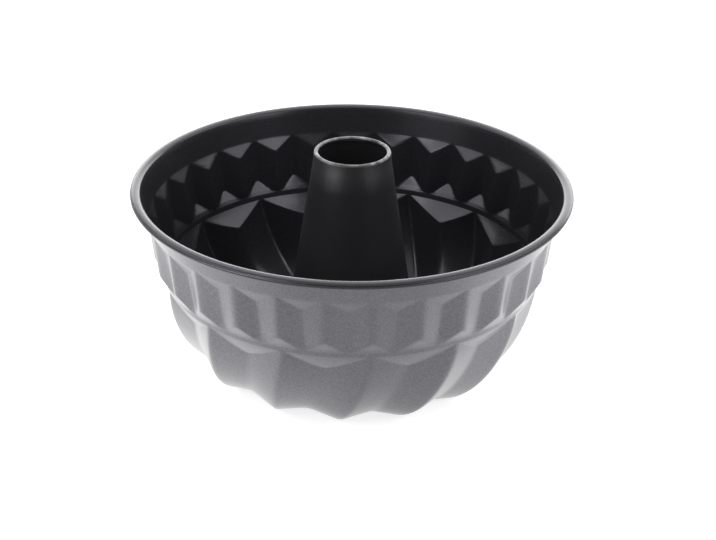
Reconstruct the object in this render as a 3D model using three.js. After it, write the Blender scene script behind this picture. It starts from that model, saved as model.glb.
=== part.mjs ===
// Ring cake mould: a fluted bowl drawn from coated steel sheet, with its rim rolled over a wire,
// and a conical centre tube whose foot is folded round the edge of the hole in the bowl's floor.
// Millimetres, +Z up. The origin is on the mould's axis, on the surface that the mould stands on.
import * as THREE from "three";

// Whole mould
const RIM_DIAMETER = 222; // over the rolled rim
const RIM_HEIGHT = 97.5; // from the standing surface to the top of the rim
const SHEET = 0.6; // thickness of the coated sheet
const FIT = 0.3; // gap between two layers that are rolled or folded together

// Rolled rim and the plain collar under it
const BEAD_DIAMETER = 4.4; // outside of the roll
const COLLAR_FLARE = 6.4; // how far the collar leans in from the middle of the roll
const COLLAR_DROP = 12.5; // how far its foot lies below the middle of the roll

// Upper band: short upright pleats, two for each flute of the lower band
const PLEAT_BAND = 29.7; // height of the band
const PLEAT_INSET = 6.8; // how far the foot of the band lies inside its head
const PLEAT_LAND = 1.6; // width of the rounded crest
const CREST_DRAFT = 2.5; // how far a crest leans in on its way down
const GROOVE_INSET = 3.5; // how far the head of a groove lies inside the head of the band
const GROOVE_HEAD = 6.2; // height of the triangular facet over a groove
const CREST_FOOT = 6.6; // height of the triangular facet under a crest

// Narrow plain ledge between the bands
const LEDGE_BAND = 3.1;
const LEDGE_DRAFT = 0.7;

// Lower band: flutes that swirl down the wall and run out on the floor
const FLUTES = 14;
const FLUTE_HEAD = 10.2; // length of the triangular facet over a groove
const FLUTE_DEPTH = 5; // groove below crest, at the groove's head
const FOOT_DEPTH = 1.8; // groove below crest, where the mould stands
const FLUTE_SWIRL = 13.1; // degrees that a flute turns, seen from above, from its head to its foot
const SWIRL_POWER = 1.8; // how that turn grows with the length along the flute
const FLUTE_LAND = 2; // width of the rounded crest or groove at the head
const FOOT_LAND = 5.6; // the same where the mould stands
const CREST_FALL = 17.5; // length over which a crest leaves the ledge almost upright
const FOOT_SPREAD = 21.2; // length over which it lies down towards its foot
const FOOT_RADIUS = 59; // circle on which the flutes stand
const FOOT_FLAT = 6; // length of the flat that each flute stands on
const FOOT_PRESS = 0.1; // how far the standing flats are pressed into the sheet

// Centre tube and the folded seam at its foot
const TUBE_HEIGHT = 115; // from the standing surface to the top of the tube
const TUBE_TOP_DIAMETER = 39.2; // over the lip
const TUBE_FOOT_DIAMETER = 71.4;
const TUBE_LIP = 3; // thickness of the lip, which is rolled inwards
const TUBE_LIP_TURN = 250; // degrees of the roll
const SEAM_HEIGHT = 4.4; // the fold's level above the standing surface
const SEAM_LENGTH = 3.4; // overlap of the folded layers
const SEAM_TURN = 2; // bend where the bowl's floor turns down into the seam

// Smoothness of the meshes
const BEAD_STEPS = 7;
const FLANK_ROWS = 7;
const FLOOR_ROWS = 4;
const SEAM_STEPS = 3;
const TUBE_SIDES = 48;
const LIP_STEPS = 7;
const HOOK_STEPS = 5;
const WIRE_SIDES = 6;

const at = (radius, height) => new THREE.Vector2(radius, height);
const along = (start, direction, length) => start.clone().addScaledVector(direction, length);
const mix = THREE.MathUtils.lerp;

// Direction of the straight line from a point that touches a circle.
// With side 1 the line passes with the circle on its right, with side -1 on its left.
function tangentAngle(from, centre, radius, side) {
  const reach = centre.clone().sub(from);
  return reach.angle() + side * Math.asin(radius / reach.length());
}

// Points along an arc, both ends included.
function arcPoints(centre, radius, start, sweep, steps) {
  return Array.from({ length: steps + 1 }, (_, step) => {
    const angle = start + (sweep * step) / steps;
    return at(centre.x + radius * Math.cos(angle), centre.y + radius * Math.sin(angle));
  });
}

// Section of the sheet's middle layer, as radius and height, from the rim down
const bead = {
  radius: (BEAD_DIAMETER - SHEET) / 2,
  centre: at((RIM_DIAMETER - BEAD_DIAMETER) / 2, RIM_HEIGHT - BEAD_DIAMETER / 2),
};
const collarFoot = at(bead.centre.x - COLLAR_FLARE, bead.centre.y - COLLAR_DROP);
const grooveHead = at(collarFoot.x - GROOVE_INSET, collarFoot.y - GROOVE_HEAD);
const ledgeHead = at(collarFoot.x - PLEAT_INSET, collarFoot.y - PLEAT_BAND);
const crestFoot = at(collarFoot.x - CREST_DRAFT, ledgeHead.y + CREST_FOOT);
const ledgeFoot = at(ledgeHead.x - LEDGE_DRAFT, ledgeHead.y - LEDGE_BAND);
const footLevel = SHEET / 2 - FOOT_PRESS;

// The tube's straight side runs up from the seam and touches the circle of its rolled lip.
const lip = {
  radius: (TUBE_LIP - SHEET) / 2,
  centre: at((TUBE_TOP_DIAMETER - TUBE_LIP) / 2, TUBE_HEIGHT - TUBE_LIP / 2),
};
const tubeFoot = at((TUBE_FOOT_DIAMETER - SHEET) / 2, SEAM_HEIGHT);
const tubeAngle = tangentAngle(tubeFoot, lip.centre, lip.radius, -1);
const tubeUp = at(Math.cos(tubeAngle), Math.sin(tubeAngle));
const tubeOut = at(tubeUp.y, -tubeUp.x);

// The hole's edge hangs down parallel to the tube, inside the hook at the tube's foot.
const layer = SHEET + FIT;
const holeEdge = along(tubeFoot, tubeOut, layer);
const seamHead = along(holeEdge, tubeUp, SEAM_LENGTH);
const seamBend = along(seamHead, tubeOut, SEAM_TURN);
const floorHead = at(seamBend.x, seamBend.y + SEAM_TURN);

// A row is one ring of the bowl's sheet: the section points of its crests and of its grooves, the
// share of the groove's depth that its facets have reached, the width of the rounded crest and
// groove, the swirl, and the pattern: plain, pleat or flute.
function ringRow(point) {
  return { pattern: "plain", crest: point, groove: point, reach: 1, swirl: 0 };
}

function pleatRow(crest, groove) {
  return { pattern: "pleat", crest, groove, reach: 1, swirl: 0, land: PLEAT_LAND };
}

function rimRows() {
  const opening = Math.acos(1 - layer / bead.radius);
  const start = tangentAngle(collarFoot, bead.centre, bead.radius, 1) + Math.PI / 2;
  const roll = arcPoints(bead.centre, bead.radius, start, opening - 2 * Math.PI, BEAD_STEPS);
  return roll.reverse().map(ringRow);
}

function pleatRows() {
  const crestAt = (height) => {
    const share = (collarFoot.y - height) / (collarFoot.y - crestFoot.y);
    return at(mix(collarFoot.x, crestFoot.x, share), height);
  };
  const grooveAt = (height) => {
    const share = (grooveHead.y - height) / (grooveHead.y - ledgeHead.y);
    return at(mix(grooveHead.x, ledgeHead.x, share), height);
  };
  return [
    pleatRow(collarFoot, collarFoot),
    pleatRow(crestAt(grooveHead.y), grooveHead),
    pleatRow(crestFoot, grooveAt(crestFoot.y)),
    pleatRow(ledgeHead, ledgeHead),
  ];
}

// The flutes' crest line falls from the ledge to the standing flats, crosses them, and rises to the
// seam. A row is set by its length along that line, and its groove lies square to the line.
function fluteRows() {
  const flatOuter = at(FOOT_RADIUS + FOOT_FLAT / 2, footLevel);
  const flatInner = at(FOOT_RADIUS - FOOT_FLAT / 2, footLevel);
  const fall = new THREE.CubicBezierCurve(
    ledgeFoot,
    at(ledgeFoot.x, ledgeFoot.y - CREST_FALL),
    at(flatOuter.x + FOOT_SPREAD, footLevel),
    flatOuter,
  );
  const halfway = (flatInner.x + floorHead.x) / 2;
  const rise = new THREE.CubicBezierCurve(
    flatInner,
    at(halfway, flatInner.y),
    at(halfway, floorHead.y),
    floorHead,
  );
  const fallLength = fall.getLength();
  const headShare = FLUTE_HEAD / fallLength;

  const row = (crest, direction, depth, length) => ({
    pattern: "flute",
    crest,
    groove: along(crest, at(direction.y, -direction.x), depth),
    reach: 1,
    swirl: -THREE.MathUtils.degToRad(FLUTE_SWIRL) * (length / fallLength) ** SWIRL_POWER,
    land: mix(FLUTE_LAND, FOOT_LAND, Math.min(1, length / fallLength)),
  });
  const fallRow = (share, depth) =>
    row(fall.getPointAt(share), fall.getTangentAt(share), depth, share * fallLength);

  const head = fallRow(headShare, FLUTE_DEPTH);
  const middle = fallRow(headShare / 2, 0);
  middle.groove = ledgeFoot.clone().lerp(head.groove, 0.5);
  middle.reach = 0.5;
  const rows = [fallRow(0, 0), middle, head];
  for (let step = 1; step <= FLANK_ROWS; step += 1) {
    const share = step / FLANK_ROWS;
    rows.push(fallRow(mix(headShare, 1, share), mix(FLUTE_DEPTH, FOOT_DEPTH, share)));
  }
  for (let step = 0; step <= FLOOR_ROWS; step += 1) {
    const share = step / FLOOR_ROWS;
    const length = fallLength + FOOT_FLAT + share * rise.getLength();
    rows.push(row(rise.getPointAt(share), rise.getTangentAt(share), FOOT_DEPTH * (1 - share), length));
  }
  return rows;
}

function seamRows(swirl) {
  const turn = Math.PI / 2 + tubeOut.angle();
  const bend = arcPoints(seamBend, SEAM_TURN, Math.PI / 2, turn, SEAM_STEPS).slice(1);
  return [...bend, holeEdge].map((point) => ({ ...ringRow(point), swirl }));
}

// Six columns go with each flute: both edges of its crest, a flank, both edges of its groove and
// the other flank. In the upper band the flanks are the pleats' grooves, and the rest are crests.
const FLANKS = [2, 5];
const GROOVE_EDGES = [3, 4];
const COLUMNS = 6;
const PITCH = (2 * Math.PI) / FLUTES;

function columnShare(row, column) {
  const flank = FLANKS.includes(column);
  if (row.pattern !== "flute") return flank ? 1 : 0;
  const full = flank ? 0.5 : Number(GROOVE_EDGES.includes(column));
  return Math.min(1, full / row.reach);
}

function columnAngle(row, column, radius) {
  const evenHalf = PITCH / COLUMNS / 2;
  const half = row.pattern === "plain" ? evenHalf : row.land / 2 / radius;
  return [-half, half, PITCH / 4, PITCH / 2 - half, PITCH / 2 + half, (3 * PITCH) / 4][column];
}

// The rings of the sheet's middle layer. A groove of the upper band lies on each axis.
function sheetGrid(rows) {
  return rows.map((row) =>
    Array.from({ length: FLUTES * COLUMNS }, (_, index) => {
      const column = index % COLUMNS;
      const point = row.crest.clone().lerp(row.groove, columnShare(row, column));
      const flute = Math.floor(index / COLUMNS) - 1 / 4;
      const angle = flute * PITCH + columnAngle(row, column, point.x) + row.swirl;
      return new THREE.Vector3(point.x * Math.cos(angle), point.x * Math.sin(angle), point.y);
    }),
  );
}

// Moves each point of a grid square to the sheet, to its outer side, and never below the floor.
function offsetGrid(grid, distance) {
  const columns = grid[0].length;
  return grid.map((ring, row) =>
    ring.map((point, column) => {
      const above = grid[Math.max(row - 1, 0)][column];
      const below = grid[Math.min(row + 1, grid.length - 1)][column];
      const before = ring[(column + columns - 1) % columns];
      const after = ring[(column + 1) % columns];
      const down = below.clone().sub(above);
      const normal = down.cross(after.clone().sub(before)).normalize();
      const moved = point.clone().addScaledVector(normal, distance);
      moved.z = Math.max(moved.z, 0);
      return moved;
    }),
  );
}

// A closed sheet from its outer and inner grids. Each cell is split so that the fold runs from the
// crest above to the groove below, which gives the triangular facets their straight edges.
function sheetGeometry(rows, outer, inner) {
  const count = rows.length;
  const columns = outer[0].length;
  const positions = [...outer, ...inner].flat().flatMap((point) => point.toArray());
  const triangles = [];
  const corner = (row, column) => row * columns + (column % columns);
  const face = (flip, a, b, c) => triangles.push(...(flip ? [a, c, b] : [a, b, c]));
  const cell = (flip, upper, lower, column, grooveNext) => {
    const a = corner(upper, column);
    const b = corner(lower, column);
    const c = corner(lower, column + 1);
    const d = corner(upper, column + 1);
    if (grooveNext) {
      face(flip, a, b, c);
      face(flip, a, c, d);
    } else {
      face(flip, a, b, d);
      face(flip, b, c, d);
    }
  };
  for (let column = 0; column < columns; column += 1) {
    for (let row = 0; row + 1 < count; row += 1) {
      const here = columnShare(rows[row + 1], column % COLUMNS);
      const next = columnShare(rows[row + 1], (column + 1) % COLUMNS);
      cell(false, row, row + 1, column, here <= next);
      cell(true, count + row, count + row + 1, column, here <= next);
    }
    cell(false, count, 0, column, true);
    cell(false, count - 1, 2 * count - 1, column, true);
  }
  const geometry = new THREE.BufferGeometry();
  geometry.setAttribute("position", new THREE.Float32BufferAttribute(positions, 3));
  geometry.setIndex(triangles);
  return geometry;
}

function flutedBowlGeometry() {
  const flutes = fluteRows();
  const rows = [...rimRows(), ...pleatRows(), ...flutes, ...seamRows(flutes.at(-1).swirl)];
  const grid = sheetGrid(rows);
  return sheetGeometry(rows, offsetGrid(grid, SHEET / 2), offsetGrid(grid, -SHEET / 2));
}

// A sheet turned about the axis: its middle line gets its thickness, and the closed outline is spun.
function turnedSheetGeometry(line, sides) {
  const side = (distance) =>
    line.map((point, index) => {
      const before = line[Math.max(index - 1, 0)];
      const after = line[Math.min(index + 1, line.length - 1)];
      const direction = after.clone().sub(before).normalize();
      return along(point, at(direction.y, -direction.x), distance);
    });
  const outline = [...side(SHEET / 2), ...side(-SHEET / 2).reverse()];
  outline.push(outline[0].clone());
  return new THREE.LatheGeometry(outline, sides).rotateX(Math.PI / 2);
}

// From the hook's end, round under the hole's edge, up the cone and over into the rolled lip
function centreTubeGeometry() {
  const hookEnd = along(along(holeEdge, tubeOut, layer), tubeUp, SEAM_LENGTH - FIT);
  const hook = arcPoints(holeEdge, layer, tubeOut.angle(), -Math.PI, HOOK_STEPS);
  const turn = THREE.MathUtils.degToRad(TUBE_LIP_TURN);
  const roll = arcPoints(lip.centre, lip.radius, tubeOut.angle(), turn, LIP_STEPS);
  return turnedSheetGeometry([hookEnd, ...hook, ...roll], TUBE_SIDES);
}

function rimWireGeometry() {
  const radius = BEAD_DIAMETER / 2 - SHEET - FIT;
  const sides = FLUTES * COLUMNS;
  const wire = new THREE.TorusGeometry(bead.centre.x, radius, WIRE_SIDES, sides);
  return wire.translate(0, 0, bead.centre.y);
}

const blackCoating = new THREE.MeshStandardMaterial({ color: 0x1b1b1c, roughness: 0.4, metalness: 0.1 });
const greyCoating = new THREE.MeshStandardMaterial({ color: 0x77787a, roughness: 0.45, metalness: 0.6 });
const bareSteel = new THREE.MeshStandardMaterial({ color: 0xb4b6b8, roughness: 0.35, metalness: 1 });

function piece(name, geometry, material) {
  const mesh = new THREE.Mesh(geometry, material);
  mesh.name = name;
  return mesh;
}

const cakeMould = new THREE.Group();
cakeMould.add(
  piece("fluted_bowl", flutedBowlGeometry(), greyCoating),
  piece("centre_tube", centreTubeGeometry(), blackCoating),
  piece("rim_wire", rimWireGeometry(), bareSteel),
);

export default cakeMould;
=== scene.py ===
import math
from functools import partial

import bpy
from mathutils import Matrix, Vector


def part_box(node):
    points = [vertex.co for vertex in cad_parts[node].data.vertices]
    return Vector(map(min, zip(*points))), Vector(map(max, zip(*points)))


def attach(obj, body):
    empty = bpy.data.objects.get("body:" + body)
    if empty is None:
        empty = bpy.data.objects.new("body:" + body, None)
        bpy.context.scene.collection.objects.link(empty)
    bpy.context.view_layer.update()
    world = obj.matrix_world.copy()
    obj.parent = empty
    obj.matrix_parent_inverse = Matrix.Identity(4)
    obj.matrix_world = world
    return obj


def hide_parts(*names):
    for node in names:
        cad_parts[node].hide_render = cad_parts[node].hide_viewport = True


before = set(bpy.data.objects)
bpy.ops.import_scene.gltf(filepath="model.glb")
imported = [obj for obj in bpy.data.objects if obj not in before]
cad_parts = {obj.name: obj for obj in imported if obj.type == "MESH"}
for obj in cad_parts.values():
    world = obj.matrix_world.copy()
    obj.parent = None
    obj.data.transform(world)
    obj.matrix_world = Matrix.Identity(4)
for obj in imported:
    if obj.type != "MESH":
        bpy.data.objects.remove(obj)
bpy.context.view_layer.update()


# Rim wire
# A ring of drawn steel wire, which the bowl's edge is rolled over to stiffen it.
# It lies hidden inside the roll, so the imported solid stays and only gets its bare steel.

def set_inputs(tree, node, inputs):
    """Links each given input of a node to a socket, or sets it to a plain value."""
    for key, value in dict(inputs).items():
        if isinstance(value, bpy.types.NodeSocket):
            tree.links.new(value, node.inputs[key])
        else:
            node.inputs[key].default_value = value


def node_adder(tree):
    """A function that adds a node to a tree, with its settings and its inputs."""
    def add(kind, inputs=(), **settings):
        node = tree.nodes.new(kind)
        for key, value in settings.items():
            setattr(node, key, value)
        set_inputs(tree, node, inputs)
        return node

    return add


def new_material(name):
    """A material, its node tree, its shader and a function that adds nodes."""
    made = bpy.data.materials.new(name)
    made.use_nodes = True
    tree = made.node_tree
    return made, tree, tree.nodes["Principled BSDF"], node_adder(tree)


def noise(add, scale, detail, roughness=0.5):
    """Noise in the piece's own coordinates."""
    place = add("ShaderNodeTexCoord").outputs["Object"]
    return add("ShaderNodeTexNoise", {"Vector": place, "Scale": scale, "Detail": detail,
                                      "Roughness": roughness}).outputs["Fac"]


def mapped(add, value, low, high, start=0.0, stop=1.0, easing="LINEAR"):
    """A value brought from the range start to stop into the range low to high."""
    return add("ShaderNodeMapRange", {"Value": value, "From Min": start, "From Max": stop,
                                      "To Min": low, "To Max": high},
               interpolation_type=easing).outputs["Result"]


def two_tones(add, share, dark, light, start=0.0, stop=1.0):
    """A colour that goes from dark to light as the share goes from start to stop."""
    tone = add("ShaderNodeValToRGB", {"Fac": share})
    first, last = tone.color_ramp.elements
    first.position, first.color = start, dark + (1,)
    last.position, last.color = stop, light + (1,)
    return tone.outputs["Color"]


def drawn_steel():
    steel, tree, shader, add = new_material("drawn_steel")
    marks = noise(add, scale=900.0, detail=3.0)
    set_inputs(tree, shader, {
        "Metallic": 1.0,
        "Base Color": two_tones(add, marks, dark=(0.38, 0.38, 0.39), light=(0.62, 0.62, 0.63)),
        "Roughness": mapped(add, marks, low=0.25, high=0.45)})
    return steel


rim_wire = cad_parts["rim_wire"]
rim_wire.data.materials.clear()
rim_wire.data.materials.append(drawn_steel())


# Fluted bowl
# One disc of steel sheet, deep-drawn in a press: 28 upright pleats stand over 14 flutes that swirl
# down to the floor. It is coated grey outside and black non-stick inside, and the rim is rolled
# outwards, so that the black side shows on the roll. All lengths are metres.

bowl_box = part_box("fluted_bowl")
flutes = 14
sheet = 0.0006  # thickness
layer_gap = 0.0003  # between layers of sheet that are folded together
inset = 0.00001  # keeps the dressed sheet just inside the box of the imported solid

# Points of the section, as radius and height.
bead_half = Vector((0.00265 - sheet / 2, 0.0018 - sheet / 2))
bead_centre = Vector((bowl_box[1].x - bead_half.x - sheet / 2 - inset, 0.0952))
collar_foot = Vector((0.1024, 0.0828))
groove_head = Vector((0.0989, 0.0766))
crest_foot = Vector((0.09977, 0.0601))
ledge_head = Vector((0.0958, 0.0538))
groove_foot = Vector((0.0950, 0.0538))
ledge_foot = Vector((0.0951, 0.0508))
foot_level = sheet / 2 + inset
flat_outer = Vector((0.0620, foot_level))
flat_inner = Vector((0.0560, foot_level))
floor_head = Vector((0.03862, 0.00990))
hole_edge = Vector((0.03629, 0.00453))
tube_out = Vector((0.98926, 0.14615))  # direction square to the side of the tube

crest_fall = 0.0182  # handle of the flute's curve at the ledge, straight down
foot_spread = 0.0212  # its handle at the foot, level
flute_head = 0.0106  # length of the facet at the head of a flute's groove
flute_depth = 0.0050
foot_depth = 0.0030
seam_turn = 0.0020  # radius of the bend round the hole
rounding = 0.00038
foot_rounding = 0.0005
plain_land = 0.002  # width over which a crest or a groove is rounded
thin_fillet = 0.0001
no_limit = 1.0  # deeper than any fold


def line_at(a, b, height):
    """Radius, at a height, of the straight line through two section points."""
    return a.x + (b.x - a.x) * (height - a.y) / (b.y - a.y)


def arc(centre, radius, start, sweep, steps):
    angles = [start + sweep * step / steps for step in range(steps + 1)]
    return [centre + radius * Vector((math.cos(a), math.sin(a))) for a in angles]


def spread(start, stop, pitch):
    """Evenly spaced values from start to just before stop."""
    count = max(1, round(abs(stop - start) / pitch))
    return [start + (stop - start) * step / count for step in range(count)]


def bezier(a, b, c, d, fine=400):
    """Points along a cubic curve, with the length so far at each."""
    points = []
    for step in range(fine + 1):
        t = step / fine
        s = 1 - t
        points.append(s**3 * a + 3 * s * s * t * b + 3 * s * t * t * c + t**3 * d)
    lengths = [0.0]
    for before, after in zip(points, points[1:]):
        lengths.append(lengths[-1] + (after - before).length)
    return points, lengths


def on_curve(points, lengths, length):
    """Point of a curve at a length along it, and the curve's direction there."""
    index = next((i for i, value in enumerate(lengths) if value >= length), len(lengths) - 1)
    index = max(index, 1)
    share = (length - lengths[index - 1]) / (lengths[index] - lengths[index - 1])
    direction = (points[index] - points[index - 1]).normalized()
    return points[index - 1].lerp(points[index], share), direction


def clamped(value):
    return min(1.0, max(0.0, value))


def soft_min(a, b, distance):
    """The smaller of two values, with the corner between them rounded off."""
    share = max(distance - abs(a - b), 0.0) / distance
    return min(a, b) - share**3 * distance / 6


rows = []


def ring(point, inward=(-1.0, 0.0), fold=0.0, head=no_limit, foot=-no_limit, ledge=no_limit,
         fillet=thin_fillet, run=0.0):
    """One ring of the sheet: where its crests lie, and how deep its folds may go."""
    return {"radius": point.x, "height": point.y, "inward_r": inward[0], "inward_z": inward[1],
            "fold": fold, "head": head, "foot": foot, "ledge": ledge, "fillet": fillet, "run": run}


def add_row(at_crest, at_groove=None, folds=1.0, crest_land=plain_land, groove_land=plain_land,
            crease=rounding, slant_end=1.0, flatness=0.0):
    """A row of the sheet, level or slanting from its place at a crest to that in a groove."""
    row = {"folds": folds, "crest_land": crest_land, "groove_land": groove_land, "crease": crease,
           "slant_end": slant_end, "flatness": flatness}
    for key, value in at_crest.items():
        row[key] = value
        row[key + "_groove"] = (at_groove or at_crest)[key]
    rows.append(row)


# The rolled rim and the upper collar are plain rings. The roll is worked out as a circle and then
# drawn out to an oval.
flattening = bead_half.y / bead_half.x
lead = bead_centre - collar_foot
lead.x *= flattening
collar_angle = math.atan2(lead.y, lead.x) + math.asin(bead_half.y / lead.length)
slit = math.acos(1 - (sheet + layer_gap) / bead_half.y)
circle = arc(Vector((0, 0)), bead_half.y, collar_angle + math.pi / 2, slit - 2 * math.pi, steps=18)
roll = [bead_centre + Vector((point.x / flattening, point.y)) for point in reversed(circle)]
for point in roll:
    add_row(ring(point))
collar_top = roll[-1]
collar_pitch = 0.003
pleat_lead = 0.0036  # how far above the foot of the collar the rows of the pleats start
for height in spread(collar_top.y, collar_foot.y + pleat_lead, collar_pitch)[1:]:
    add_row(ring(Vector((line_at(collar_top, collar_foot, height), height))))

# Pleats: depth is level, from the line of the crests to the facets that bound each fold. Rows slant
# with the edges of the facets, from the crests down to the grooves.
pleats_per_flute = 2.0
pleat_crest_land = 0.0022
pleat_groove_land = 0.0012
ledge_slope = 0.08
wide_fillet = 0.0015
fillet_below = 0.0009  # how far below the head of the ledge the fillet starts to widen
fillet_run = 0.0012


def pleat_ring(height):
    """The sheet at a height between the collar and the ledge."""
    crest = line_at(collar_foot, crest_foot, height)
    collar = line_at(collar_top, collar_foot, height)
    upper = soft_min(collar, line_at(collar_foot, groove_head, height), rounding)
    over_ledge = height - ledge_head.y
    ledge = ledge_head.x - ledge_slope * over_ledge
    if over_ledge < 0:
        ledge = line_at(ledge_head, ledge_foot, height)
    widening = clamped((over_ledge + fillet_below) / fillet_run)
    return ring(Vector((crest, height)), fold=crest - line_at(groove_head, groove_foot, height),
                head=crest - upper, foot=crest - line_at(crest_foot, ledge_head, height),
                ledge=crest - ledge,
                fillet=thin_fillet + (wide_fillet - thin_fillet) * widening)


# Each pair is how far a row lies below the level of its facets, at a crest and in a groove.
head_fall = collar_foot.y - groove_head.y
foot_fall = crest_foot.y - ledge_head.y
head_drops = ((-pleat_lead, -pleat_lead), (-0.0019, -0.0019), (-0.0008, -0.0008),
              (-0.0003, -0.0003), (0, 0), (0.00005, 0.0003), (0.0001, head_fall / 2),
              (0.00015, head_fall - 0.0006), (0.0002, head_fall - 0.00025), (0.00025, head_fall),
              (0.00035, head_fall + 0.0003), (0.0006, head_fall + 0.0007),
              (0.0014, head_fall + 0.0013), (0.003, head_fall + 0.0022),
              (0.0055, head_fall + 0.0031), (0.0105, 0.0105), (0.0135, 0.0135))
foot_drops = ((-0.0050, -0.0030), (-0.0030, 0.0012), (-0.0018, 0.0030),
              (-0.0010, foot_fall - 0.0024), (-0.0005, foot_fall - 0.0017),
              (-0.00025, foot_fall - 0.0013), (0, foot_fall - 0.0010),
              (0.00025, foot_fall - 0.0008), (0.0006, foot_fall - 0.00062),
              (0.0030, foot_fall - 0.00048), (foot_fall - 0.0022, foot_fall - 0.00036),
              (foot_fall - 0.0016, foot_fall - 0.00026), (foot_fall - 0.0010, foot_fall - 0.00017),
              (foot_fall - 0.0003, foot_fall - 0.00005), (foot_fall, foot_fall + 0.0001),
              (foot_fall + 0.0003, foot_fall + 0.0003), (foot_fall + 0.0009, foot_fall + 0.0009))
crest_at_ledge = line_at(collar_foot, crest_foot, ledge_head.y)
facet_share = (ledge_head.x - crest_at_ledge) / (groove_foot.x - crest_at_ledge)
for level, drops, crease, slant_end in ((collar_foot.y, head_drops, rounding, 1.0),
                                        (crest_foot.y, foot_drops, foot_rounding, facet_share)):
    for at_crest, at_groove in drops:
        add_row(pleat_ring(level - at_crest), pleat_ring(level - at_groove),
                folds=pleats_per_flute, crest_land=pleat_crest_land,
                groove_land=pleat_groove_land, crease=crease, slant_end=slant_end, flatness=1.0)

# Flutes: depth is square to the line of the crests, which falls to the foot and rises to the hole.
flute_crest_land = 0.0018
flute_groove_land = 0.0017
groove_widening = 0.0022  # added to that land by the time a groove reaches the foot
facet_flatness = 0.35
facet_fade = 0.012  # length over which the flanks turn from that to fully flat
facet_end = 0.0195
flute_pitch = 0.0027
floor_pitch = 0.003
fall, fall_lengths = bezier(ledge_foot, ledge_foot - Vector((0, crest_fall)),
                            flat_outer + Vector((foot_spread, 0)), flat_outer)
fall_length = fall_lengths[-1]


def flute_ring(length):
    """The sheet at a length down a flute; the ring of the ledge is at lengths below zero."""
    head = flute_depth * length / flute_head
    if length < 0:
        ring_depth = ledge_foot.x - line_at(ledge_head, ledge_foot, ledge_foot.y - length)
        head = -soft_min(-ring_depth, -head, rounding)
        point, direction = ledge_foot - Vector((0, length)), Vector((0, -1))
    else:
        point, direction = on_curve(fall, fall_lengths, length)
    share = max(0.0, (length - flute_head) / (fall_length - flute_head))
    depth = flute_depth + (foot_depth - flute_depth) * share**2
    return ring(point, (direction.y, -direction.x), fold=depth, head=head,
                run=max(0.0, length / fall_length))


# Each pair is how far a row lies down a flute, at a crest and in a groove.
pleats_end = (ledge_head.y + ledge_foot.y) / 2
above_flutes = (pleats_end - ledge_foot.y, 0.0009, 0.00045, 0.0002)
flute_rows = [(-length, -length) for length in above_flutes]
flute_rows += [(0, 0), (0.00005, 0.0003), (0.0001, 0.0030), (0.00015, 0.0066),
               (0.0002, flute_head - 0.0008), (0.00025, flute_head - 0.0003), (0.0003, flute_head),
               (0.00045, flute_head + 0.0004), (0.0008, flute_head + 0.0009),
               (0.0018, flute_head + 0.0017), (0.0036, flute_head + 0.0029),
               (0.0060, flute_head + 0.0043), (0.0095, flute_head + 0.0058),
               (0.0140, flute_head + 0.0074)]
flute_rows += [(length, length) for length in spread(facet_end, fall_length, flute_pitch)]
for at_crest, at_groove in flute_rows:
    share = max(0.0, at_crest / fall_length)
    below_facet = clamped(at_crest / facet_fade)
    add_row(flute_ring(at_crest), flute_ring(at_groove), crest_land=flute_crest_land,
            groove_land=flute_groove_land + groove_widening * share,
            flatness=facet_flatness + (1.0 - facet_flatness) * below_facet)
add_row(ring(flat_outer, (0.0, 1.0), fold=foot_depth, run=1.0))

# The floor rises from the flats to the hole, and its edge bends down into the seam with the tube.
halfway = (flat_inner.x + floor_head.x) / 2
rise, rise_lengths = bezier(flat_inner, Vector((halfway, flat_inner.y)),
                            Vector((halfway, floor_head.y)), floor_head)
rise_length = rise_lengths[-1]
rise_start = fall_length + (flat_outer - flat_inner).length
for length in spread(0.0, rise_length, floor_pitch):
    point, direction = on_curve(rise, rise_lengths, length)
    add_row(ring(point, (direction.y, -direction.x), fold=foot_depth * (1 - length / rise_length),
                 run=(rise_start + length) / fall_length))
out_angle = math.atan2(tube_out.y, tube_out.x)
bend = arc(Vector((floor_head.x, floor_head.y - seam_turn)), seam_turn,
           math.pi / 2, math.pi / 2 + out_angle, steps=5)
for point in bend + [bend[-1].lerp(hole_edge, 0.5), hole_edge]:
    add_row(ring(point, run=(rise_start + rise_length) / fall_length))

section_mesh = bpy.data.meshes.new("fluted_bowl_section")
section_mesh.from_pydata([(row["radius"], 0, row["height"]) for row in rows],
                         [(i, i + 1) for i in range(len(rows) - 1)], [])
for key in rows[0]:
    values = section_mesh.attributes.new(key, "FLOAT", "POINT").data
    values.foreach_set("value", [row[key] for row in rows])
fluted_bowl = bpy.data.objects.new("fluted_bowl_sheet", section_mesh)
bpy.context.scene.collection.objects.link(fluted_bowl)


def number(add, operation, *values):
    """The result of a calculation, added to a tree as a node."""
    return add("ShaderNodeMath", enumerate(values), operation=operation).outputs[0]


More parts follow.
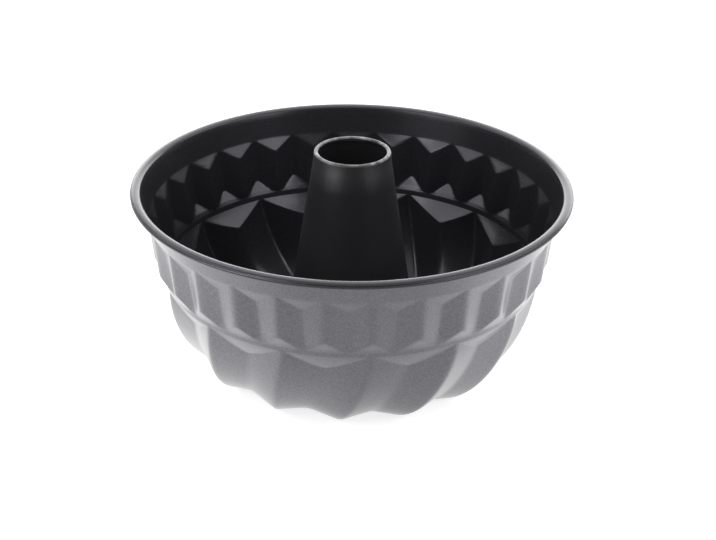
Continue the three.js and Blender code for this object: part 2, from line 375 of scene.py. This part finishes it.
def flute_tree(coating):
    """Folds a strip of sheet one flute wide along the section, and repeats it round the axis."""
    gather_turn = 8 * math.pi  # columns gather at two crests and two grooves in each flute
    first_column = 0.25  # share of a flute that lies before the X axis
    least_fold = 0.00001
    highlight_growth_power = 0.7
    weld = 0.00002
    tree = bpy.data.node_groups.new("flutes_round_the_bowl", "GeometryNodeTree")
    side = tree.interface
    side.new_socket("Section", in_out="INPUT", socket_type="NodeSocketGeometry")
    for name in ("Flutes", "Columns"):
        side.new_socket(name, in_out="INPUT", socket_type="NodeSocketInt")
    for name in ("Crease gather", "Valley highlight width", "Swirl", "Swirl power"):
        side.new_socket(name, in_out="INPUT", socket_type="NodeSocketFloat")
    side.new_socket("Sheet", in_out="OUTPUT", socket_type="NodeSocketGeometry")
    given = tree.nodes.new("NodeGroupInput").outputs
    section = given["Section"]
    add = node_adder(tree)
    calc = partial(number, add)

    # One column of the strip for each step across a flute, one row for each ring of the section.
    count = add("GeometryNodeAttributeDomainSize", {"Geometry": section}).outputs["Point Count"]
    strip = add("GeometryNodeMeshGrid", {"Vertices X": calc("ADD", given["Columns"], 1.0),
                                         "Vertices Y": count})
    index = add("GeometryNodeInputIndex").outputs[0]
    row_index = calc("MODULO", index, count)
    column_index = calc("FLOOR", calc("DIVIDE", calc("ADD", index, 0.5), count))
    column = calc("DIVIDE", column_index, given["Columns"])

    def of_row(name):
        value = add("GeometryNodeInputNamedAttribute", {"Name": name}, data_type="FLOAT")
        return add("GeometryNodeSampleIndex",
                   {"Geometry": section, "Value": value.outputs["Attribute"], "Index": row_index},
                   data_type="FLOAT").outputs["Value"]

    def slanted(name):
        crest = of_row(name)
        return calc("MULTIPLY_ADD", calc("SUBTRACT", of_row(name + "_groove"), crest), slant, crest)

    # The wave goes from 0 at a crest to 1 in a groove, along straight flanks.
    turn = calc("MULTIPLY", column, gather_turn)
    gather = calc("MULTIPLY", calc("SINE", turn), given["Crease gather"])
    share = calc("SUBTRACT", column, calc("DIVIDE", gather, gather_turn))
    pitch = calc("DIVIDE", 2 * math.pi, given["Flutes"])
    half = calc("DIVIDE", 0.5, of_row("folds"))
    around = calc("MULTIPLY", pitch, of_row("radius"))
    crest_half = calc("MULTIPLY", of_row("crest_land"), 0.5)
    groove_half = calc("MULTIPLY", of_row("groove_land"), 0.5)
    span = calc("SUBTRACT", calc("MULTIPLY", half, around), crest_half)
    span = calc("SUBTRACT", span, groove_half)
    from_crest = calc("MULTIPLY", calc("PINGPONG", share, half), around)
    slope = calc("DIVIDE", calc("SUBTRACT", from_crest, crest_half), span)
    wave = calc("SMOOTH_MAX", slope, 0.0, calc("DIVIDE", crest_half, span))
    wave = calc("SMOOTH_MIN", wave, 1.0, calc("DIVIDE", groove_half, span))

    # A flank that follows the wave bulges with the circle, so the bow takes that out again.
    flank_angle = calc("MULTIPLY", pitch, half)
    sag = calc("MULTIPLY", calc("POWER", flank_angle, 2.0), 0.5)
    sag = calc("MULTIPLY", of_row("radius"), sag)
    facing = calc("MAXIMUM", calc("MULTIPLY", of_row("inward_r"), -1.0), 0.0)
    sag = calc("MULTIPLY", calc("MULTIPLY", sag, facing), of_row("flatness"))
    bow = calc("MULTIPLY", sag, calc("MULTIPLY", wave, calc("SUBTRACT", 1.0, wave)))
    bowed = calc("DIVIDE", bow, calc("MAXIMUM", of_row("fold"), least_fold))
    bowed = calc("ADD", wave, bowed)
    slant = calc("MINIMUM", calc("DIVIDE", bowed, of_row("slant_end")), 1.0)

    # Depth follows the wave as far as the facets and the ledge let it.
    depth = calc("MULTIPLY_ADD", wave, slanted("fold"), bow)
    depth = calc("SMOOTH_MIN", depth, slanted("head"), of_row("crease"))
    depth = calc("SMOOTH_MAX", depth, slanted("foot"), of_row("crease"))
    depth = calc("SMOOTH_MIN", depth, slanted("ledge"), slanted("fillet"))
    out = calc("MULTIPLY_ADD", slanted("inward_r"), depth, slanted("radius"))
    up = calc("MULTIPLY_ADD", slanted("inward_z"), depth, slanted("height"))
    swirl = calc("POWER", slanted("run"), given["Swirl power"])
    swirl = calc("MULTIPLY", given["Swirl"], swirl)
    angle = calc("MULTIPLY", calc("SUBTRACT", share, first_column), pitch)
    angle = calc("SUBTRACT", angle, swirl)
    folded = add("ShaderNodeCombineXYZ", {"X": calc("MULTIPLY", out, calc("COSINE", angle)),
                                          "Y": calc("MULTIPLY", out, calc("SINE", angle)), "Z": up})
    flute = add("GeometryNodeSetPosition", {"Geometry": strip.outputs["Mesh"],
                                            "Position": folded.outputs[0]})

    # Inside, a painted highlight runs along the valleys behind the crests: the coating is made
    # lighter and metallic there, in patches, more towards the foot.
    near = calc("SUBTRACT", 1.0, calc("DIVIDE", from_crest, given["Valley highlight width"]))
    low = calc("MINIMUM", calc("POWER", of_row("run"), highlight_growth_power), 1.0)
    wear_and_highlight = add("GeometryNodeStoreNamedAttribute",
               {"Geometry": flute.outputs[0], "Name": "valley",
                "Value": calc("MULTIPLY", calc("MAXIMUM", near, 0.0), low)})

    places = add("GeometryNodePoints", {"Count": given["Flutes"]})
    turned = add("ShaderNodeCombineXYZ", {"Z": calc("MULTIPLY", index, pitch)})
    copies = add("GeometryNodeInstanceOnPoints",
                 {"Points": places.outputs[0], "Instance": wear_and_highlight.outputs[0],
                  "Rotation": turned.outputs[0]})
    whole = add("GeometryNodeRealizeInstances", {"Geometry": copies.outputs[0]})
    joined = add("GeometryNodeMergeByDistance", {"Geometry": whole.outputs[0], "Distance": weld})
    smooth = add("GeometryNodeSetShadeSmooth", {"Geometry": joined.outputs[0]})
    coated = add("GeometryNodeSetMaterial", {"Geometry": smooth.outputs[0], "Material": coating})
    set_inputs(tree, tree.nodes.new("NodeGroupOutput"), {0: coated.outputs[0]})
    return tree


def bumps(add, height, strength, distance):
    """The shading of a fine grain."""
    return add("ShaderNodeBump", {"Height": height, "Strength": strength,
                                  "Distance": distance}).outputs["Normal"]


def grey_coating():
    coat, tree, shader, add = new_material("grey_metallic_coating")
    flakes = noise(add, scale=1150.0, detail=3.0, roughness=0.7)
    set_inputs(tree, shader, {
        "Metallic": 1.0,
        "Coat Weight": 1.0,
        "Coat Roughness": 0.2,
        "Base Color": two_tones(add, flakes, dark=(0.133, 0.133, 0.147),
                                light=(0.225, 0.225, 0.244), start=0.3, stop=0.7),
        "Roughness": mapped(add, flakes, low=0.26, high=0.34),
        "Normal": bumps(add, flakes, strength=0.03, distance=0.0002)})
    return coat


def black_coating():
    coat, tree, shader, add = new_material("black_nonstick")
    grain = noise(add, scale=1200.0, detail=2.0)
    patchy_noise = noise(add, scale=180.0, detail=4.0)
    mottling = 0.06
    # The streak along the valleys is a painted highlight: the coating turns lighter and metallic
    # there, in patches.
    valley = add("ShaderNodeAttribute", attribute_name="valley").outputs["Fac"]
    patchy_strength = mapped(add, patchy_noise, low=0.1, high=0.4, start=0.3, stop=0.7)
    wear_and_highlight = number(add, "MULTIPLY", valley, patchy_strength)
    mottle_and_highlight = number(add, "MULTIPLY_ADD", grain, mottling, wear_and_highlight)
    set_inputs(tree, shader, {
        "Specular IOR Level": 0.53,
        "Specular Tint": (0.92, 0.91, 1.0, 1),
        "Base Color": two_tones(add, mottle_and_highlight, dark=(0.012, 0.012, 0.0145), light=(0.26, 0.26, 0.27)),
        "Metallic": wear_and_highlight,
        "Roughness": mapped(add, grain, low=0.18, high=0.27),
        "Normal": bumps(add, grain, strength=0.1, distance=0.0003)})
    return coat


grey = grey_coating()
nonstick = black_coating()
section_mesh.materials.append(nonstick)
maker = fluted_bowl.modifiers.new("flutes", "NODES")
maker.node_group = flute_tree(nonstick)
sizes = {"Flutes": flutes, "Columns": 32, "Crease gather": 0.92, "Valley highlight width": 0.0006,
         "Swirl": math.radians(13.1), "Swirl power": 1.5}
for socket in maker.node_group.interface.items_tree:
    if socket.in_out == "INPUT" and socket.name in sizes:
        maker[socket.identifier] = sizes[socket.name]


def settle(piece):
    """Turns a piece's evaluated shape into a plain mesh and takes its modifiers off."""
    graph = bpy.context.evaluated_depsgraph_get()
    mesh = bpy.data.meshes.new_from_object(piece.evaluated_get(graph))
    piece.modifiers.clear()
    piece.data = mesh


settle(fluted_bowl)
fluted_bowl.data.materials.append(grey)
thicken = fluted_bowl.modifiers.new("sheet", "SOLIDIFY")
thicken.thickness = sheet
thicken.offset = 0.0
thicken.material_offset = 1
settle(fluted_bowl)
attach(fluted_bowl, "root")
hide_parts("fluted_bowl")


# Centre tube
# A cone of the same sheet, open at both ends and coated black. Its foot is folded round the edge of
# the hole in the bowl's floor, and its top is rolled inwards, with the coating worn along the roll.

lip_radius = 0.00085
lip_turn = math.radians(250)
lip_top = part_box("centre_tube")[1].z
lip_centre = Vector((0.0182, lip_top - lip_radius - sheet / 2 - inset))
neck_length = 0.005  # of the flare under the lip
neck_flare = math.radians(7)
layer = sheet + layer_gap
seam_length = 0.0034
side_steps = 12
tube_sides = 112

# The line of the sheet's middle, from the end of the seam down, round the hole's edge and up.
tube_up = Vector((-tube_out.y, tube_out.x))
hook_end = hole_edge + layer * tube_out + (seam_length - layer_gap) * tube_up
hook = arc(hole_edge, layer, out_angle, -math.pi, steps=12)
lip = arc(lip_centre, lip_radius, out_angle - neck_flare, lip_turn + neck_flare, steps=24)
neck_bend = arc(Vector((0, 0)), neck_length / neck_flare, out_angle - math.pi, -neck_flare, steps=8)
neck = [lip[0] + point - neck_bend[-1] for point in neck_bend]
side_line = [hook[-1].lerp(neck[0], step / side_steps) for step in range(1, side_steps)]
tube_line = [hook_end] + hook + side_line + neck + lip[1:]


def offset_line(points, distance):
    """A line beside another, at a distance from it."""
    moved = []
    for index, point in enumerate(points):
        before = points[max(index - 1, 0)]
        after = points[min(index + 1, len(points) - 1)]
        direction = (after - before).normalized()
        moved.append(point + distance * Vector((direction.y, -direction.x)))
    return moved


outline = offset_line(tube_line, sheet / 2) + offset_line(tube_line, -sheet / 2)[::-1]
loop = len(outline)
corners = []
faces = []
for side in range(tube_sides):
    angle = 2 * math.pi * side / tube_sides
    corners += [(p.x * math.cos(angle), p.x * math.sin(angle), p.y) for p in outline]
    here, there = side * loop, (side + 1) % tube_sides * loop
    for step in range(loop):
        following = (step + 1) % loop
        faces.append((here + step, there + step, there + following, here + following))
tube_mesh = bpy.data.meshes.new("centre_tube_sheet")
tube_mesh.from_pydata(corners, [], faces)
tube_mesh.shade_smooth()
centre_tube = bpy.data.objects.new("centre_tube_sheet", tube_mesh)
bpy.context.scene.collection.objects.link(centre_tube)


def worn_tube_coating():
    coat, tree, shader, add = new_material("tube_nonstick")
    wear_start, wear_full = lip_centre.y + 0.0001, lip_centre.y + 0.0007
    place = add("ShaderNodeTexCoord").outputs["Object"]
    height = add("ShaderNodeSeparateXYZ", {0: place}).outputs["Z"]
    grain = noise(add, scale=1200.0, detail=2.0)
    patchy_noise = noise(add, scale=260.0, detail=4.0)
    edge = mapped(add, height, low=0.0, high=1.0, start=wear_start, stop=wear_full)
    patchy_strength = mapped(add, patchy_noise, low=0.0, high=0.6, start=0.3, stop=0.7)
    wear_and_highlight = number(add, "MULTIPLY", edge, patchy_strength)
    set_inputs(tree, shader, {
        "Base Color": two_tones(add, wear_and_highlight, dark=(0.016, 0.016, 0.0185), light=(0.45, 0.45, 0.46)),
        "Metallic": wear_and_highlight,
        "Roughness": mapped(add, grain, low=0.37, high=0.45),
        "Normal": bumps(add, grain, strength=0.04, distance=0.0003)})
    return coat


tube_mesh.materials.append(worn_tube_coating())
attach(centre_tube, "root")
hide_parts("centre_tube")


# Studio
# A white floor and a pale room, with softboxes at the left, right, back and top, a low panel at the
# left and two small lamps in front. None of it belongs to the part.

floor_half = 4.0
floor_mesh = bpy.data.meshes.new("floor")
floor_mesh.from_pydata([(-floor_half, -floor_half, 0), (floor_half, -floor_half, 0),
                        (floor_half, floor_half, 0), (-floor_half, floor_half, 0)],
                       [], [(0, 1, 2, 3)])
floor = bpy.data.objects.new("floor", floor_mesh)
bpy.context.scene.collection.objects.link(floor)


def white_floor():
    """Paper that is plain white to the camera, is clear from below, and has its own reflection."""
    made, tree, shader, add = new_material("white_floor")
    calc = partial(number, add)
    backdrop_glow = 0.72
    middle_x = 0.03
    ray = add("ShaderNodeLightPath").outputs
    set_inputs(tree, shader, {
        "Base Color": (0.8, 0.8, 0.8, 1),
        "Roughness": 0.9,
        "Emission Color": (1, 1, 1, 1),
        "Emission Strength": calc("MULTIPLY", ray["Is Camera Ray"], backdrop_glow)})

    # What the coatings mirror: brighter to the back, and dim under the mould.
    spot = add("ShaderNodeTexCoord").outputs["Object"]
    place = add("ShaderNodeSeparateXYZ", {0: spot}).outputs
    away = add("ShaderNodeVectorMath", {0: spot}, operation="LENGTH").outputs["Value"]
    far_off = mapped(add, away, low=0.0, high=1.0, start=0.3, stop=0.7, easing="SMOOTHSTEP")
    slant = mapped(add, far_off, low=0.6, high=1.15)
    aside = calc("ABSOLUTE", calc("SUBTRACT", place["X"], middle_x))
    back = calc("MULTIPLY_ADD", aside, slant, place["Y"])
    falloff = add("ShaderNodeValToRGB",
                  {"Fac": mapped(add, back, low=0.0, high=1.0, start=-0.5, stop=0.3)})
    ramp = falloff.color_ramp
    ramp.interpolation = "EASE"
    for position, level in ((0.06, 0.12), (0.34, 0.5), (0.48, 0.53), (0.65, 0.79), (0.85, 0.95)):
        ramp.elements.new(position).color = (level, level, level, 1)
    ramp.elements.remove(ramp.elements[-1])
    ramp.elements.remove(ramp.elements[0])

    # In front, further off, it glows with a painted beam of light that is stronger at the left.
    frontness = calc("DIVIDE", place["Y"], away)
    aimed = mapped(add, frontness, low=1.0, high=0.0, start=-0.5, stop=-0.15, easing="SMOOTHSTEP")
    painted_beam = calc("MULTIPLY", aimed, mapped(add, place["X"], low=7.6, high=2.8, start=-0.8, stop=0.8))
    gain = calc("MULTIPLY_ADD", far_off, painted_beam, 1.0)
    shade = mapped(add, away, low=0.6, high=1.45, start=0.02, stop=0.095, easing="SMOOTHSTEP")
    paper = add("ShaderNodeEmission", {"Color": falloff.outputs["Color"],
                                       "Strength": calc("MULTIPLY", shade, gain)})
    mirrored = calc("MAXIMUM", ray["Is Glossy Ray"], ray["Is Transmission Ray"])
    both = add("ShaderNodeMixShader", {0: mirrored, 1: shader.outputs[0], 2: paper.outputs[0]})
    under = add("ShaderNodeNewGeometry").outputs["Backfacing"]
    clear = add("ShaderNodeBsdfTransparent")
    mixed = add("ShaderNodeMixShader", {0: under, 1: both.outputs[0], 2: clear.outputs[0]})
    set_inputs(tree, tree.nodes["Material Output"], {"Surface": mixed.outputs[0]})
    return made


floor_mesh.materials.append(white_floor())


def studio_world():
    """A room that is white to the camera, and dim in front where the coatings mirror it."""
    world = bpy.data.worlds.new("studio")
    world.use_nodes = True
    tree = world.node_tree
    add = node_adder(tree)
    calc = partial(number, add)
    dim = tree.nodes["Background"]
    set_inputs(tree, dim, {"Color": (1, 1, 1, 1), "Strength": 0.35})
    ray = add("ShaderNodeLightPath").outputs
    direction = add("ShaderNodeTexCoord").outputs["Generated"]
    parts = add("ShaderNodeSeparateXYZ", {0: direction}).outputs
    behind = mapped(add, parts["Y"], low=0.1, high=1.0, start=0.1, stop=0.8, easing="SMOOTHSTEP")
    overhead = mapped(add, parts["Z"], low=0.0, high=1.0, start=0.4, stop=0.8, easing="SMOOTHSTEP")
    lit = calc("MAXIMUM", calc("MAXIMUM", behind, overhead), ray["Is Camera Ray"])
    white = add("ShaderNodeBackground", {"Color": (1, 1, 1, 1), "Strength": lit})
    seen = calc("MAXIMUM", ray["Is Camera Ray"], ray["Is Glossy Ray"])
    seen = calc("MAXIMUM", seen, ray["Is Transmission Ray"])
    mixed = add("ShaderNodeMixShader", {0: seen, 1: dim.outputs[0], 2: white.outputs[0]})
    set_inputs(tree, tree.nodes["World Output"], {"Surface": mixed.outputs[0]})
    return world


bpy.context.scene.world = studio_world()


def soft_lamp(name, place, width, height, radiance):
    """A softbox that faces the mould and glows with the given radiance."""
    lamp = bpy.data.lights.new(name, "AREA")
    lamp.shape = "RECTANGLE"
    lamp.size = width
    lamp.size_y = height
    lamp.energy = radiance * math.pi * width * height
    stand = bpy.data.objects.new(name, lamp)
    stand.location = place
    aim = Vector((0, 0, 0.05)) - Vector(place)
    stand.rotation_euler = aim.to_track_quat("-Z", "Y").to_euler()
    bpy.context.scene.collection.objects.link(stand)


soft_lamp("left_softbox", (-0.95, -0.17, 0.66), width=1.5, height=0.5, radiance=1.92)
soft_lamp("right_softbox", (0.95, -0.17, 0.66), width=1.5, height=0.5, radiance=2.0)
soft_lamp("back_softbox", (0.15, 1.05, 0.38), width=1.9, height=0.5, radiance=2.8)
soft_lamp("top_softbox", (0, 0.55, 0.95), width=1.5, height=1.0, radiance=1.3)
soft_lamp("left_low_panel", (-0.67, -0.60, 0.17), width=0.6, height=0.22, radiance=0.4)
soft_lamp("left_lamp", (-0.5, -0.6, 0.56), width=0.32, height=0.24, radiance=3.2)
soft_lamp("right_lamp", (0.58, -0.52, 0.57), width=0.24, height=0.2, radiance=1.3)

view_lift = math.radians(26.717)
view_roll = math.radians(0.838)
view_distance = 0.9219
view_target = Vector((0.0036, 0, 0.04842))
sensor_width = 36.0
focal_length = 1792.8 / 716  # as a share of the picture's width
ahead = Vector((0, math.cos(view_lift), -math.sin(view_lift)))
right = Vector((1, 0, 0))
up = Vector((0, math.sin(view_lift), math.cos(view_lift)))
tilted_right = math.cos(view_roll) * right + math.sin(view_roll) * up
tilted_up = math.cos(view_roll) * up - math.sin(view_roll) * right
camera = bpy.data.objects.new("camera", bpy.data.cameras.new("camera"))
camera.data.sensor_width = sensor_width
camera.data.lens = sensor_width * focal_length
camera.data.clip_start = 0.01
facing = Matrix((tilted_right, tilted_up, -ahead)).transposed().to_4x4()
camera.matrix_world = Matrix.Translation(view_target - view_distance * ahead) @ facing
bpy.context.scene.collection.objects.link(camera)
bpy.context.scene.camera = camera
bpy.context.scene.view_settings.view_transform = "Standard"
